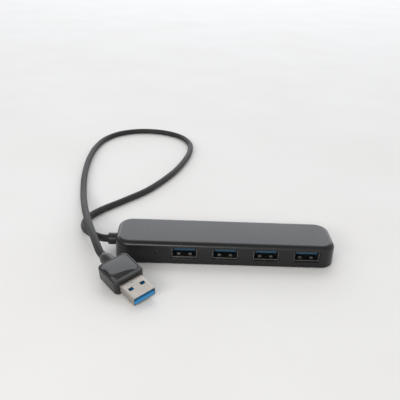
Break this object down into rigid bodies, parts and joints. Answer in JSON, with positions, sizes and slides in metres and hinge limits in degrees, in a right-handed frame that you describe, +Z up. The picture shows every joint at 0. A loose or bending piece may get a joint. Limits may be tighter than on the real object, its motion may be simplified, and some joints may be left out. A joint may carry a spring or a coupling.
{
  "type": "usb hub",
  "caption": "Slim bar-shaped USB hub with a row of USB-A ports along its front face and a short captive lead ending in a USB-A plug.",
  "frame": {"origin": "middle of the underside of the hub's bar, without its lead", "axes": "+X along the bar, away from the lead; +Y from the port face to the back; +Z up through the top"},
  "size_m": [0.1531, 0.2597, 0.0123],
  "materials": {
    "soft_black": "fine satin, soft to the touch",
    "relief_black": "matt moulded",
    "lead_black": "matt extruded jacket",
    "plug_black": "satin moulded",
    "gloss_black": "polished",
    "nickel": "bright nickel plate on folded sheet",
    "plug_blue": "moulded",
    "port_blue": "moulded",
    "gold": "thin gold plate",
    "board": "green solder resist",
    "chip": "moulded epoxy",
    "can": "drawn can",
    "ceramic": "fired ceramic with tinned ends",
    "lamp": "clear resin over a white package",
    "clear": "clear moulded light pipe",
    "wire_red": "insulated wire",
    "wire_black": "insulated wire",
    "wire_white": "insulated wire",
    "wire_green": "insulated wire",
    "wire_blue": "insulated wire",
    "wire_orange": "insulated wire"
  },
  "bodies": {
    "root": {"housing": "soft_black", "bottom_cover": "soft_black", "circuit_board": "board", "hub_controller": "chip", "crystal": "can", "voltage_regulator": "chip", "bulk_capacitor": "can", "ceramic_capacitor_1": "ceramic", "ceramic_capacitor_2": "ceramic", "ceramic_capacitor_3": "ceramic", "ceramic_capacitor_4": "ceramic", "status_light": "lamp", "light_pipe": "clear", "port_1_shell": "nickel", "port_1_insulator": "port_blue", "port_1_contact_1": "gold", "port_1_contact_2": "gold", "port_1_contact_3": "gold", "port_1_contact_4": "gold", "port_2_shell": "nickel", "port_2_insulator": "port_blue", "port_2_contact_1": "gold", "port_2_contact_2": "gold", "port_2_contact_3": "gold", "port_2_contact_4": "gold", "port_3_shell": "nickel", "port_3_insulator": "port_blue", "port_3_contact_1": "gold", "port_3_contact_2": "gold", "port_3_contact_3": "gold", "port_3_contact_4": "gold", "port_4_shell": "nickel", "port_4_insulator": "port_blue", "port_4_contact_1": "gold", "port_4_contact_2": "gold", "port_4_contact_3": "gold", "port_4_contact_4": "gold", "hub_strain_relief": "relief_black", "lead": "lead_black", "wire_power": "wire_red", "wire_ground": "wire_black", "wire_data_minus": "wire_white", "wire_data_plus": "wire_green", "wire_fast_out": "wire_blue", "wire_fast_in": "wire_orange", "plug_body": "plug_black", "plug_panel": "gloss_black", "plug_shell": "nickel", "plug_insulator": "plug_blue", "plug_contact_1": "gold", "plug_contact_2": "gold", "plug_contact_3": "gold", "plug_contact_4": "gold"}
  },
  "joints": []
}
